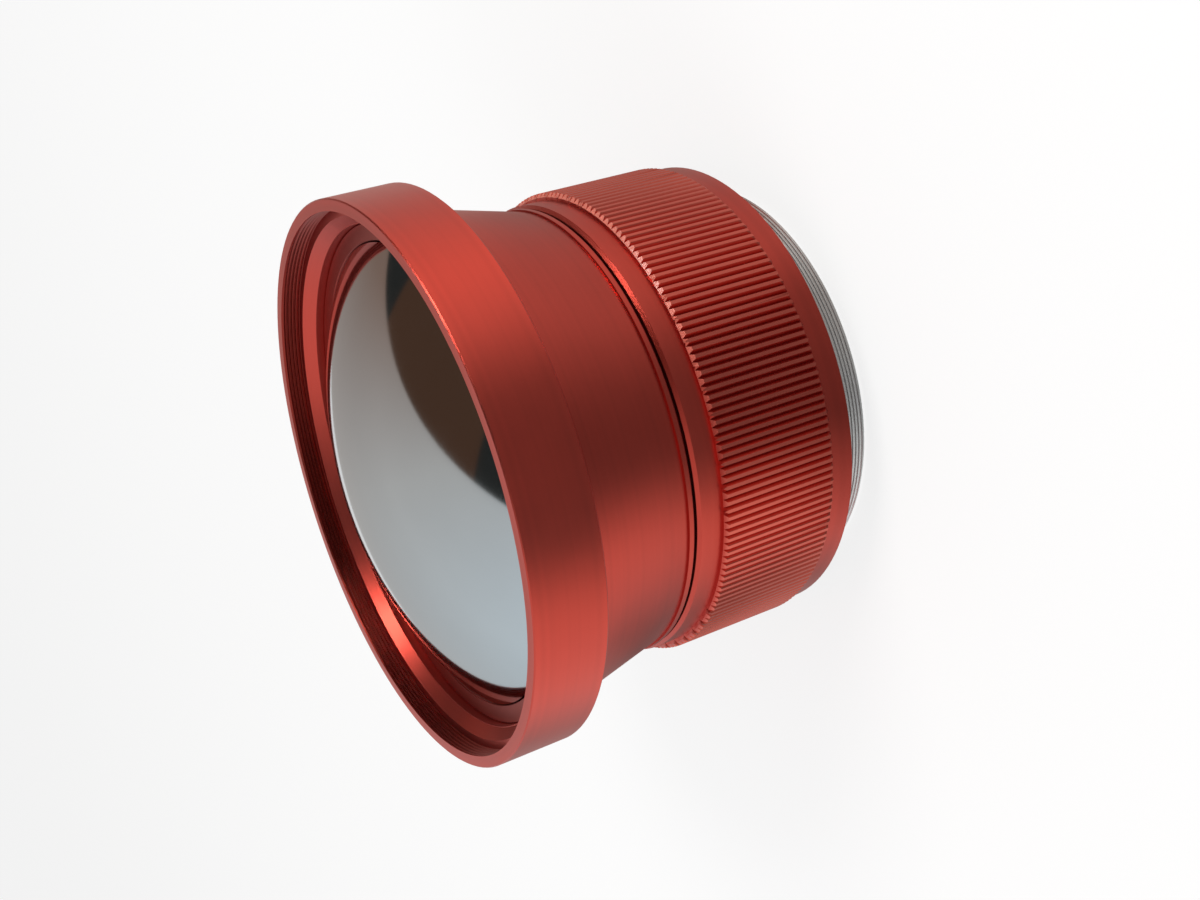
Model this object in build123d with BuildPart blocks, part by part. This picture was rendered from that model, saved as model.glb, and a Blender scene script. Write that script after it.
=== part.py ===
from build123d import *
from math import asin, cos, degrees, pi, sin, sqrt
import os

# Objective lens with a focus ring. All sizes in millimetres.
# The optical axis is +Z, the front element looks up, and Z = 0 is the rear face of the mount ring.

# Lengths along the axis, from the rear face to the front rim
mount_length = 5.4
band_length = 3.25
knurl_length = 16.0
collar_length = 3.2
joint_gap = 0.3
land_length = 0.85
taper_length = 15.05
flange_width = 9.45

# Filter thread, M70 x 0.5, cut to its root, with the crest radius kept at the lip.
# Its root radius leads: every other radius is a step or a wall from it.
filter_root_r = 35.0
filter_thread_height = 0.27
filter_lip = 0.2
filter_depth = 2.65

# Outer shape of the front barrel
flange_wall = 1.25
flange_step = 3.25
rim_chamfer = 0.15
flange_rear_chamfer = 0.2
land_bevel = 0.25

# Inside of the front barrel, in front of the lens
bevel_ledge = 1.3
bevel_width = 1.2
bevel_length = 1.45
bevel_rear_step = 0.1
front_ring_height = 2.33
front_ring_chamfer = 0.7
front_ring_front_chamfer = 0.15
front_ring_inner_chamfer = 0.1
front_ring_gap = 0.228
front_o_ring_pocket = 1.5
front_o_ring_section_r = 0.8
front_o_ring_gap = 0.06

# Front element: an oblate dome in front, a shallow sphere behind
dome_height = 13.75
dome_centre_depth = 10.24
dome_margin = 0.05
front_lens_step = 1.7
front_lens_edge = 3.04
front_lens_rear_radius = 84.0
front_ledge_step = 0.456
front_seat_width = 1.4
lens_clearance = 0.05
shim_thickness = 0.2
shim_inset = 0.1

# Aperture stop and the spring ring that holds it
stop_ledge = 1.6
stop_width = 4.0
stop_thickness = 0.8
stop_edge_thickness = 0.15
stop_edge_width = 1.5
snap_ring_thickness = 0.8
snap_groove_depth = 0.4
snap_ring_width = 1.1
snap_ring_clearance = 0.02
snap_ring_gap_deg = 26.0

# Helicoid tube, screwed into the front barrel, with the aperture stop and the rear element
tube_step = 8.0
tube_wall = 3.6
tube_end_gap = 1.0
tube_chamfer = 0.4
tube_thread_length = 5.0
tube_stop_depth = 6.0
cone_rear_wall = 1.0
rear_ring_wall = 6.0
rear_lens_step = 1.0
rear_lens_edge = 3.6
rear_lens_land = 1.5
rear_lens_front_radius = 90.0
rear_lens_rear_radius = 130.0
rear_seat_width = 1.2
rear_seat_thickness = 1.5
rear_cone_rise = 1.5
rear_ring_height = 2.2
rear_ring_width = 2.4
rear_ring_recess = 0.4
rear_ring_chamfer = 0.2
rear_o_ring_height = 0.8
rear_o_ring_width = 1.0
rear_o_ring_inset = 0.1
rear_o_ring_corner = 0.24

# Focus ring
focus_wall = 1.43
knurl_depth = 0.52
knurl_count = 194
band_step = 0.05
band_chamfer = 0.2
collar_step = 0.43
collar_bevel = 0.4
land_step = 0.25
taper_step = 0.27
helicoid_clearance = 0.05
seal_groove_depth = 1.2
seal_height = 1.4
seal_front_wall = 1.3

# Bearing plate, thrust washers and retainer
plate_bore_step = 1.9
plate_thickness = 3.5
plate_inner_step = 5.0
plate_chamfer = 0.2
running_clearance = 0.04
thrust_clearance = 0.05
washer_thickness = 0.5
washer_width = 1.4
washer_inset = 0.1
retainer_thickness = 1.4
retainer_recess = 0.2
retainer_width = 2.1
retainer_slot_depth = 0.6
thread_clearance = 0.02

# Focus stop: a dog point screw in an arc groove of the bearing plate
focus_travel_deg = 270.0
stop_screw_r = 1.0
stop_dog_r = 0.7
stop_dog_length = 1.1
stop_shank_step = 0.1
stop_side_clearance = 0.1
stop_tip_clearance = 0.2
stop_end_clearance = 0.03
stop_screw_sink = 0.45
stop_socket_r = 0.5
stop_socket_depth = 0.55

# Guide pins that keep the barrel from turning
guide_pin_r = 1.0
guide_reach = 11.0
guide_floor = 1.0
guide_clearance = 0.05
guide_end_gap = 1.0
guide_pin_chamfer = 0.2
guide_count = 3
guide_start_deg = 30.0

# Mount ring, M53 x 0.5, cut to its root
mount_step = 0.8
mount_lead_chamfer = 0.4
mount_thread_gap = 0.4
mount_relief_depth = 0.3
mount_relief_slope = 0.2
mount_bore_chamfer = 0.3
spigot_wall = 1.0
spigot_length = 1.2
spigot_clearance = 0.02

# Countersunk screws of the mount ring
screw_count = 4
screw_start_deg = 45.0
screw_r = 1.0
screw_head_r = 1.9
screw_sink = 0.1
screw_clearance = 0.1
screw_step = 1.6
screw_floor = 0.95
screw_hole_end = 0.4
screw_socket_r = 0.62
screw_socket_depth = 0.9

# Spanner slots of the lens rings and the retainer
slot_width = 1.6
slot_depth = 0.8
slot_angle = 70.0

# How far a cut runs past the metal that it opens
cut_over = 1.0

# Derived radii of the front cell, inwards from the filter thread
filter_crest_r = filter_root_r - filter_thread_height
flange_r = filter_root_r + flange_wall
taper_front_r = flange_r - flange_step
bevel_front_r = filter_root_r - bevel_ledge
bevel_rear_r = bevel_front_r - bevel_width
ring_bore_r = bevel_rear_r - bevel_rear_step
front_ring_r = ring_bore_r - thread_clearance
front_lens_r = ring_bore_r - front_lens_step
front_cell_r = front_lens_r + lens_clearance
front_seat_r = front_lens_r - front_seat_width
dome_radius = front_lens_r + dome_margin

# Derived radii of the helicoid tube and the rear cell
tube_r = filter_root_r - tube_step
tube_seat_r = tube_r + thread_clearance
tube_bore_r = tube_r - tube_wall
cone_rear_r = tube_r - cone_rear_wall
guide_circle_r = tube_r - tube_wall / 2
stop_bore_r = tube_bore_r + stop_ledge
stop_r = stop_bore_r - lens_clearance
stop_inner_r = stop_bore_r - stop_width
snap_groove_r = stop_bore_r + snap_groove_depth
snap_ring_r = snap_groove_r - snap_ring_clearance
rear_ring_bore_r = tube_r - rear_ring_wall
rear_ring_r = rear_ring_bore_r - thread_clearance
rear_ring_inner_r = rear_ring_bore_r - rear_ring_width
rear_lens_r = rear_ring_bore_r - rear_lens_step
rear_cell_r = rear_lens_r + lens_clearance
rear_seat_r = rear_lens_r - rear_seat_width

# Derived radii of the focus ring, outwards from the helicoid tube
helicoid_r = tube_r + helicoid_clearance
seal_groove_r = helicoid_r + seal_groove_depth
plate_bore_r = tube_r + plate_bore_step
knurl_root_r = plate_bore_r + focus_wall
knurl_crest_r = knurl_root_r + knurl_depth
band_r = knurl_root_r - band_step
collar_r = knurl_root_r - collar_step
land_r = collar_r - land_step
taper_rear_r = land_r - taper_step

# Derived radii of the bearing and the mount
plate_r = plate_bore_r - running_clearance
plate_inner_r = tube_r - plate_inner_step
washer_outer_r = plate_bore_r - washer_inset
washer_inner_r = washer_outer_r - washer_width
retainer_r = plate_bore_r - thread_clearance
retainer_inner_r = plate_bore_r - retainer_width
mount_root_r = tube_r - mount_step
mount_relief_r = mount_root_r - mount_relief_depth
mount_bore_r = plate_inner_r - spigot_wall
spigot_r = plate_inner_r - spigot_clearance
screw_circle_r = plate_inner_r + screw_step

# Derived heights of the outside
focus_rear_z = mount_length
knurl_rear_z = focus_rear_z + band_length
knurl_front_z = knurl_rear_z + knurl_length
focus_front_z = knurl_front_z + collar_length
land_rear_z = focus_front_z + joint_gap
taper_rear_z = land_rear_z + land_length
flange_rear_z = taper_rear_z + taper_length
rim_z = flange_rear_z + flange_width

# Derived heights of the front cell
bevel_front_z = rim_z - filter_depth
bevel_rear_z = bevel_front_z - bevel_length
dome_centre_z = rim_z - dome_centre_depth
front_edge_z = dome_centre_z + dome_height * sqrt(1 - (front_lens_r / dome_radius) ** 2)
front_seat_z = front_edge_z - front_lens_edge
shim_seat_z = front_seat_z - shim_thickness
front_ledge_z = front_edge_z + front_ledge_step
front_ring_bottom_z = front_ledge_z + front_o_ring_pocket
front_ring_top_z = front_ring_bottom_z + front_ring_height

# Derived heights of the bearing, from the rear
retainer_rear_z = focus_rear_z + retainer_recess
retainer_front_z = retainer_rear_z + retainer_thickness
plate_rear_z = retainer_front_z + washer_thickness + thrust_clearance
plate_front_z = plate_rear_z + plate_thickness
front_washer_z = plate_front_z + thrust_clearance
plate_bore_end_z = front_washer_z + washer_thickness
stop_z = plate_rear_z + plate_thickness / 2
tube_rear_z = plate_front_z + tube_end_gap
seal_front_z = focus_front_z - seal_front_wall
seal_rear_z = seal_front_z - seal_height

# Derived heights of the rear cell
rear_ring_bottom_z = tube_rear_z + rear_ring_recess
rear_ring_top_z = rear_ring_bottom_z + rear_ring_height
rear_lens_bottom_z = rear_ring_top_z + rear_o_ring_height
rear_lens_top_z = rear_lens_bottom_z + rear_lens_edge
rear_ledge_z = rear_lens_bottom_z - rear_o_ring_height / 2
rear_seat_top_z = rear_lens_top_z + rear_seat_thickness
rear_cone_top_z = rear_seat_top_z + rear_cone_rise

# Derived heights of the tube's front end and the aperture stop
tube_front_z = land_rear_z + tube_thread_length
stop_seat_z = tube_front_z - tube_stop_depth
snap_rear_z = stop_seat_z + stop_thickness
snap_front_z = snap_rear_z + snap_ring_thickness

# Derived lengths of the guide pins and the mount screws
guide_pin_seat = plate_thickness - guide_floor
guide_pin_length = guide_pin_seat + guide_reach
guide_hole_depth = guide_reach - tube_end_gap + guide_end_gap
mount_thread_end = mount_length - mount_thread_gap
screw_length = plate_front_z - screw_floor - screw_sink
screw_hole_depth = plate_thickness - screw_floor + screw_hole_end


# Front barrel: flange, taper and land turned in one piece
with BuildPart() as front_barrel:
    with BuildSketch(Plane.XZ):
        with BuildLine():
            Polyline(
                (filter_crest_r, rim_z),
                (flange_r - rim_chamfer, rim_z),
                (flange_r, rim_z - rim_chamfer),
                (flange_r, flange_rear_z + flange_rear_chamfer),
                (flange_r - flange_rear_chamfer, flange_rear_z),
                (taper_front_r, flange_rear_z),
                (taper_rear_r, taper_rear_z),
                (land_r, taper_rear_z),
                (land_r, land_rear_z + land_bevel),
                (land_r - land_bevel, land_rear_z),
                (tube_seat_r, land_rear_z),
                (tube_seat_r, tube_front_z),
                (cone_rear_r, tube_front_z),
                (front_seat_r, shim_seat_z),
                (front_cell_r, shim_seat_z),
                (front_cell_r, front_ledge_z),
                (ring_bore_r, front_ledge_z),
                (ring_bore_r, bevel_rear_z),
                (bevel_rear_r, bevel_rear_z),
                (bevel_front_r, bevel_front_z),
                (filter_root_r, bevel_front_z),
                (filter_root_r, rim_z - filter_lip),
                (filter_crest_r, rim_z - filter_lip),
                close=True,
            )
        make_face()
    revolve(axis=Axis.Z)
front_barrel.part.label = "front_barrel"

# Helicoid tube: slides in the focus ring, and holds the aperture stop and the rear element
with BuildPart() as helicoid_tube:
    with BuildSketch(Plane.XZ):
        with BuildLine():
            Polyline(
                (stop_bore_r, tube_front_z),
                (tube_r - tube_chamfer, tube_front_z),
                (tube_r, tube_front_z - tube_chamfer),
                (tube_r, tube_rear_z + tube_chamfer),
                (tube_r - tube_chamfer, tube_rear_z),
                (rear_ring_bore_r, tube_rear_z),
                (rear_ring_bore_r, rear_ledge_z),
                (rear_cell_r, rear_ledge_z),
                (rear_cell_r, rear_lens_top_z),
                (rear_seat_r, rear_lens_top_z),
                (rear_seat_r, rear_seat_top_z),
                (tube_bore_r, rear_cone_top_z),
                (tube_bore_r, stop_seat_z),
                (stop_bore_r, stop_seat_z),
                (stop_bore_r, snap_rear_z),
                (snap_groove_r, snap_rear_z),
                (snap_groove_r, snap_front_z),
                (stop_bore_r, snap_front_z),
                close=True,
            )
        make_face()
    revolve(axis=Axis.Z)
    # Guide holes, drilled from the tube's rear face
    with BuildSketch(Plane.XY.offset(tube_rear_z)):
        with PolarLocations(guide_circle_r, guide_count, start_angle=guide_start_deg):
            Circle(guide_pin_r + guide_clearance)
    extrude(amount=guide_hole_depth, mode=Mode.SUBTRACT)
helicoid_tube.part.label = "helicoid_tube"

# Front element, opaque silicon: a ball squashed along the axis, cut to its rim and hollowed behind
squash = dome_height / dome_radius
seat_rise = sqrt(front_lens_rear_radius**2 - front_seat_r**2)
with BuildPart() as front_lens:
    with Locations((0, 0, dome_centre_z / squash)):
        Sphere(dome_radius)
    scale(by=(1, 1, squash))
    with Locations((0, 0, front_seat_z)):
        Cylinder(
            front_lens_r,
            2 * dome_height,
            align=(Align.CENTER, Align.CENTER, Align.MIN),
            mode=Mode.INTERSECT,
        )
    with Locations((0, 0, front_seat_z - seat_rise)):
        Sphere(front_lens_rear_radius, mode=Mode.SUBTRACT)
front_lens.part.label = "front_lens"

# Shim between the front element and its seat
with BuildPart() as front_lens_shim:
    with BuildSketch(Plane.XY.offset(shim_seat_z)):
        Circle(front_lens_r)
        Circle(front_seat_r + shim_inset, mode=Mode.SUBTRACT)
    extrude(amount=shim_thickness)
front_lens_shim.part.label = "front_lens_shim"

# Soft ring between the front element's flank and its retaining ring
o_ring_centre_z = (front_ring_bottom_z + front_ledge_z) / 2
o_ring_flank_r = dome_radius * sqrt(1 - ((o_ring_centre_z - dome_centre_z) / dome_height) ** 2)
front_o_ring_r = o_ring_flank_r + front_o_ring_section_r + front_o_ring_gap
with BuildPart() as front_lens_o_ring:
    with BuildSketch(Plane.XZ):
        with Locations((front_o_ring_r, o_ring_centre_z)):
            Circle(front_o_ring_section_r)
            Rectangle(4 * front_o_ring_section_r, front_o_ring_pocket, mode=Mode.INTERSECT)
        with Locations((0, o_ring_centre_z)):
            Rectangle(
                front_ring_r,
                front_o_ring_pocket,
                align=(Align.MIN, Align.CENTER),
                mode=Mode.INTERSECT,
            )
    revolve(axis=Axis.Z)
front_lens_o_ring.part.label = "front_lens_o_ring"

# Retaining ring of the front element, with two spanner slots; its bore clears the dome's flank
front_ring_neck_z = front_ring_bottom_z + front_ring_chamfer
neck_flank_r = dome_radius * sqrt(1 - ((front_ring_neck_z - dome_centre_z) / dome_height) ** 2)
front_ring_inner_r = neck_flank_r + front_ring_gap
with BuildPart() as front_retaining_ring:
    with BuildSketch(Plane.XZ):
        with BuildLine():
            Polyline(
                (front_ring_inner_r, front_ring_neck_z),
                (front_ring_inner_r + front_ring_chamfer, front_ring_bottom_z),
                (front_ring_r, front_ring_bottom_z),
                (front_ring_r, front_ring_top_z - front_ring_front_chamfer),
                (front_ring_r - front_ring_front_chamfer, front_ring_top_z),
                (front_ring_inner_r + front_ring_inner_chamfer, front_ring_top_z),
                (front_ring_inner_r, front_ring_top_z - front_ring_inner_chamfer),
                close=True,
            )
        make_face()
    revolve(axis=Axis.Z)
    with BuildSketch(Plane.XY.offset(front_ring_top_z - slot_depth)):
        Rectangle(3 * ring_bore_r, slot_width, rotation=slot_angle)
    extrude(amount=2 * slot_depth, mode=Mode.SUBTRACT)
front_retaining_ring.part.label = "front_retaining_ring"

# Aperture stop, a ring with a thin inner edge
with BuildPart() as aperture_stop:
    with BuildSketch(Plane.XZ):
        with BuildLine():
            Polyline(
                (stop_inner_r, stop_seat_z),
                (stop_r, stop_seat_z),
                (stop_r, snap_rear_z),
                (stop_inner_r + stop_edge_width, snap_rear_z),
                (stop_inner_r, stop_seat_z + stop_edge_thickness),
                close=True,
            )
        make_face()
    revolve(axis=Axis.Z)
aperture_stop.part.label = "aperture_stop"

# Open spring ring that holds the aperture stop
with BuildPart() as stop_snap_ring:
    with BuildSketch(Plane.XY.offset(snap_rear_z)):
        Circle(snap_ring_r)
        Circle(snap_ring_r - snap_ring_width, mode=Mode.SUBTRACT)
        half_gap = snap_ring_gap_deg / 2 * pi / 180
        reach = 2 * stop_bore_r
        with BuildLine():
            Polyline(
                (0, 0),
                (reach * sin(-half_gap), reach * cos(half_gap)),
                (reach * sin(half_gap), reach * cos(half_gap)),
                close=True,
            )
        make_face(mode=Mode.SUBTRACT)
    extrude(amount=snap_ring_thickness)
stop_snap_ring.part.label = "stop_snap_ring"

# Rear element, opaque silicon
with BuildPart() as rear_lens:
    clear_r = rear_lens_r - rear_lens_land
    front_rise = sqrt(rear_lens_front_radius**2 - clear_r**2)
    rear_rise = sqrt(rear_lens_rear_radius**2 - clear_r**2)
    front_vertex_z = rear_lens_top_z + rear_lens_front_radius - front_rise
    rear_vertex_z = rear_lens_bottom_z + rear_lens_rear_radius - rear_rise
    mid_r = clear_r / 2
    front_mid_z = rear_lens_top_z - front_rise + sqrt(rear_lens_front_radius**2 - mid_r**2)
    rear_mid_z = rear_lens_bottom_z - rear_rise + sqrt(rear_lens_rear_radius**2 - mid_r**2)
    with BuildSketch(Plane.XZ):
        with BuildLine():
            ThreePointArc((0, front_vertex_z), (mid_r, front_mid_z), (clear_r, rear_lens_top_z))
            Polyline(
                (clear_r, rear_lens_top_z),
                (rear_lens_r, rear_lens_top_z),
                (rear_lens_r, rear_lens_bottom_z),
                (clear_r, rear_lens_bottom_z),
            )
            ThreePointArc((clear_r, rear_lens_bottom_z), (mid_r, rear_mid_z), (0, rear_vertex_z))
            Line((0, rear_vertex_z), (0, front_vertex_z))
        make_face()
    revolve(axis=Axis.Z)
rear_lens.part.label = "rear_lens"

# Soft ring behind the rear element
rear_o_ring_r = rear_lens_r - rear_o_ring_inset - rear_o_ring_width / 2
with BuildPart() as rear_lens_o_ring:
    with BuildSketch(Plane.XZ):
        with Locations((rear_o_ring_r, rear_ring_top_z + rear_o_ring_height / 2)):
            RectangleRounded(rear_o_ring_width, rear_o_ring_height, rear_o_ring_corner)
    revolve(axis=Axis.Z)
rear_lens_o_ring.part.label = "rear_lens_o_ring"

# Retaining ring of the rear element, with two spanner slots
with BuildPart() as rear_retaining_ring:
    with BuildSketch(Plane.XZ):
        with BuildLine():
            Polyline(
                (rear_ring_inner_r, rear_ring_bottom_z + rear_ring_chamfer),
                (rear_ring_inner_r + rear_ring_chamfer, rear_ring_bottom_z),
                (rear_ring_r - rear_ring_chamfer, rear_ring_bottom_z),
                (rear_ring_r, rear_ring_bottom_z + rear_ring_chamfer),
                (rear_ring_r, rear_ring_top_z),
                (rear_ring_inner_r, rear_ring_top_z),
                close=True,
            )
        make_face()
    revolve(axis=Axis.Z)
    with BuildSketch(Plane.XY.offset(rear_ring_bottom_z - slot_depth)):
        Rectangle(3 * rear_ring_bore_r, slot_width, rotation=slot_angle)
    extrude(amount=2 * slot_depth, mode=Mode.SUBTRACT)
rear_retaining_ring.part.label = "rear_retaining_ring"

# Focus ring: straight V knurl between a plain collar and a plain band
knurl_points = []
for i in range(knurl_count):
    root_angle = 2 * pi * i / knurl_count
    crest_angle = root_angle + pi / knurl_count
    knurl_points.append((knurl_root_r * cos(root_angle), knurl_root_r * sin(root_angle)))
    knurl_points.append((knurl_crest_r * cos(crest_angle), knurl_crest_r * sin(crest_angle)))
with BuildPart() as focus_ring:
    with BuildSketch(Plane.XZ):
        with BuildLine():
            Polyline(
                (0, focus_rear_z),
                (band_r - band_chamfer, focus_rear_z),
                (band_r, focus_rear_z + band_chamfer),
                (band_r, knurl_front_z - cut_over),
                (collar_r, knurl_front_z - cut_over),
                (collar_r, focus_front_z - collar_bevel),
                (collar_r - collar_bevel, focus_front_z),
                (0, focus_front_z),
                close=True,
            )
        make_face()
    revolve(axis=Axis.Z)
    with BuildSketch(Plane.XY.offset(knurl_rear_z)):
        with BuildLine():
            Polyline(*knurl_points, close=True)
        make_face()
    extrude(amount=knurl_length)
    # Helicoid bore, seal groove and the wide bore for the bearing plate
    with BuildSketch(Plane.XZ):
        with BuildLine():
            Polyline(
                (0, focus_rear_z - cut_over),
                (plate_bore_r, focus_rear_z - cut_over),
                (plate_bore_r, plate_bore_end_z),
                (helicoid_r, plate_bore_end_z),
                (helicoid_r, seal_rear_z),
                (seal_groove_r, seal_rear_z),
                (seal_groove_r, seal_front_z),
                (helicoid_r, seal_front_z),
                (helicoid_r, focus_front_z + cut_over),
                (0, focus_front_z + cut_over),
                close=True,
            )
        make_face()
    revolve(axis=Axis.Z, mode=Mode.SUBTRACT)
    # Radial hole of the stop screw
    with BuildSketch(Plane(origin=(0, tube_r, stop_z), x_dir=(1, 0, 0), z_dir=(0, 1, 0))):
        Circle(stop_screw_r)
    extrude(amount=knurl_root_r, mode=Mode.SUBTRACT)
focus_ring.part.label = "focus_ring"

# Felt ring in the focus ring's bore
with BuildPart() as dust_seal:
    with BuildSketch(Plane.XY.offset(seal_rear_z)):
        Circle(seal_groove_r)
        Circle(helicoid_r, mode=Mode.SUBTRACT)
    extrude(amount=seal_height)
dust_seal.part.label = "dust_seal"

# Bearing plate: the focus ring turns on its edge
dog_tip_r = plate_bore_r - stop_dog_length
groove_floor_r = dog_tip_r - stop_tip_clearance
groove_end_deg = degrees(asin((stop_dog_r + stop_end_clearance) / dog_tip_r))
groove_start = (90.0 - focus_travel_deg - groove_end_deg) * pi / 180
groove_x = (cos(groove_start), sin(groove_start), 0)
groove_normal = (sin(groove_start), -cos(groove_start), 0)
groove_outer_r = plate_bore_r + cut_over
with BuildPart() as bearing_plate:
    with BuildSketch(Plane.XZ):
        with BuildLine():
            Polyline(
                (plate_inner_r, plate_rear_z),
                (plate_r - plate_chamfer, plate_rear_z),
                (plate_r, plate_rear_z + plate_chamfer),
                (plate_r, plate_front_z - plate_chamfer),
                (plate_r - plate_chamfer, plate_front_z),
                (plate_inner_r, plate_front_z),
                close=True,
            )
        make_face()
    revolve(axis=Axis.Z)
    # Arc groove of the stop screw, over the focus travel
    with BuildSketch(Plane(origin=(0, 0, 0), x_dir=groove_x, z_dir=groove_normal)):
        with Locations(((groove_floor_r + groove_outer_r) / 2, stop_z)):
            Rectangle(groove_outer_r - groove_floor_r, 2 * (stop_dog_r + stop_side_clearance))
    revolve(axis=Axis.Z, revolution_arc=focus_travel_deg + 2 * groove_end_deg, mode=Mode.SUBTRACT)
    with BuildSketch(Plane.XY.offset(plate_front_z)):
        with PolarLocations(guide_circle_r, guide_count, start_angle=guide_start_deg):
            Circle(guide_pin_r)
    extrude(amount=-guide_pin_seat, mode=Mode.SUBTRACT)
    with BuildSketch(Plane.XY.offset(plate_rear_z)):
        with PolarLocations(screw_circle_r, screw_count, start_angle=screw_start_deg):
            Circle(screw_r + thread_clearance)
    extrude(amount=screw_hole_depth, mode=Mode.SUBTRACT)
bearing_plate.part.label = "bearing_plate"

# Guide pins, pressed into the bearing plate
with BuildPart() as guide_pins:
    with BuildSketch(Plane.XY.offset(plate_front_z - guide_pin_seat)):
        with PolarLocations(guide_circle_r, guide_count, start_angle=guide_start_deg):
            Circle(guide_pin_r)
    extrude(amount=guide_pin_length)
    chamfer(guide_pins.edges().group_by(Axis.Z)[-1], guide_pin_chamfer)
guide_pins.part.label = "guide_pins"

# Dog point screw that stops the focus ring at both ends of its travel
screw_top_r = knurl_root_r - stop_screw_sink
screw_shank_r = plate_bore_r + stop_shank_step
with BuildPart() as stop_screw:
    with BuildSketch(Plane(origin=(0, dog_tip_r, stop_z), x_dir=(1, 0, 0), z_dir=(0, 1, 0))):
        Circle(stop_dog_r)
    extrude(amount=stop_dog_length + 2 * stop_shank_step)
    with BuildSketch(Plane(origin=(0, screw_shank_r, stop_z), x_dir=(1, 0, 0), z_dir=(0, 1, 0))):
        Circle(stop_screw_r - thread_clearance)
    extrude(amount=screw_top_r - screw_shank_r)
    with BuildSketch(Plane(origin=(0, screw_top_r, stop_z), x_dir=(1, 0, 0), z_dir=(0, 1, 0))):
        RegularPolygon(stop_socket_r, 6)
    extrude(amount=-stop_socket_depth, mode=Mode.SUBTRACT)
stop_screw.part.label = "stop_screw"

# Thrust washers on both sides of the bearing plate
with BuildPart() as front_thrust_washer:
    with BuildSketch(Plane.XY.offset(front_washer_z)):
        Circle(washer_outer_r)
        Circle(washer_inner_r, mode=Mode.SUBTRACT)
    extrude(amount=washer_thickness)
front_thrust_washer.part.label = "front_thrust_washer"

with BuildPart() as rear_thrust_washer:
    with BuildSketch(Plane.XY.offset(retainer_front_z)):
        Circle(washer_outer_r)
        Circle(washer_inner_r, mode=Mode.SUBTRACT)
    extrude(amount=washer_thickness)
rear_thrust_washer.part.label = "rear_thrust_washer"

# Threaded retainer in the focus ring's rear bore, with two spanner slots
with BuildPart() as focus_ring_retainer:
    with BuildSketch(Plane.XY.offset(retainer_rear_z)):
        Circle(retainer_r)
        Circle(retainer_inner_r, mode=Mode.SUBTRACT)
    extrude(amount=retainer_thickness)
    with BuildSketch(Plane.XY.offset(retainer_rear_z - cut_over)):
        Rectangle(3 * plate_bore_r, slot_width, rotation=slot_angle)
    extrude(amount=cut_over + retainer_slot_depth, mode=Mode.SUBTRACT)
focus_ring_retainer.part.label = "focus_ring_retainer"

# Mount ring with the male thread, a relief behind it and a centring spigot
with BuildPart() as mount_ring:
    with BuildSketch(Plane.XZ):
        with BuildLine():
            Polyline(
                (mount_bore_r + mount_bore_chamfer, 0),
                (mount_root_r - mount_lead_chamfer, 0),
                (mount_root_r, mount_lead_chamfer),
                (mount_root_r, mount_thread_end),
                (mount_relief_r, mount_thread_end + mount_relief_slope),
                (mount_relief_r, plate_rear_z),
                (spigot_r, plate_rear_z),
                (spigot_r, plate_rear_z + spigot_length),
                (mount_bore_r, plate_rear_z + spigot_length),
                (mount_bore_r, mount_bore_chamfer),
                close=True,
            )
        make_face()
    revolve(axis=Axis.Z)
    with BuildSketch(Plane.XY):
        with PolarLocations(screw_circle_r, screw_count, start_angle=screw_start_deg):
            Circle(screw_r + screw_clearance)
    extrude(amount=plate_rear_z, mode=Mode.SUBTRACT)
    # Countersinks, as cones of 90 degrees that open at the rear face
    with PolarLocations(screw_circle_r, screw_count, start_angle=screw_start_deg):
        Cone(
            screw_head_r + screw_sink,
            screw_r,
            screw_head_r + screw_sink - screw_r,
            align=(Align.CENTER, Align.CENTER, Align.MIN),
            mode=Mode.SUBTRACT,
        )
mount_ring.part.label = "mount_ring"

# Countersunk screws from the mount ring into the bearing plate
head_height = screw_head_r - screw_r
with BuildPart() as mount_screws:
    with PolarLocations(screw_circle_r, screw_count, start_angle=screw_start_deg):
        with Locations((0, 0, screw_sink)):
            Cylinder(screw_r, screw_length, align=(Align.CENTER, Align.CENTER, Align.MIN))
            Cone(screw_head_r, screw_r, head_height, align=(Align.CENTER, Align.CENTER, Align.MIN))
    with BuildSketch(Plane.XY.offset(screw_sink)):
        with PolarLocations(screw_circle_r, screw_count, start_angle=screw_start_deg):
            RegularPolygon(screw_socket_r, 6)
    extrude(amount=screw_socket_depth, mode=Mode.SUBTRACT)
mount_screws.part.label = "mount_screws"

os.makedirs("parts", exist_ok=True)
export_step(front_barrel.part, "parts/front_barrel.step")
export_step(helicoid_tube.part, "parts/helicoid_tube.step")
export_step(front_lens.part, "parts/front_lens.step")
export_step(front_lens_shim.part, "parts/front_lens_shim.step")
export_step(front_lens_o_ring.part, "parts/front_lens_o_ring.step")
export_step(front_retaining_ring.part, "parts/front_retaining_ring.step")
export_step(aperture_stop.part, "parts/aperture_stop.step")
export_step(stop_snap_ring.part, "parts/stop_snap_ring.step")
export_step(rear_lens.part, "parts/rear_lens.step")
export_step(rear_lens_o_ring.part, "parts/rear_lens_o_ring.step")
export_step(rear_retaining_ring.part, "parts/rear_retaining_ring.step")
export_step(focus_ring.part, "parts/focus_ring.step")
export_step(dust_seal.part, "parts/dust_seal.step")
export_step(bearing_plate.part, "parts/bearing_plate.step")
export_step(guide_pins.part, "parts/guide_pins.step")
export_step(stop_screw.part, "parts/stop_screw.step")
export_step(front_thrust_washer.part, "parts/front_thrust_washer.step")
export_step(rear_thrust_washer.part, "parts/rear_thrust_washer.step")
export_step(focus_ring_retainer.part, "parts/focus_ring_retainer.step")
export_step(mount_ring.part, "parts/mount_ring.step")
export_step(mount_screws.part, "parts/mount_screws.step")
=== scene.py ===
from math import asin, cos, pi, radians, sin

import bmesh
import bpy
from mathutils import Matrix, Vector


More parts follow.
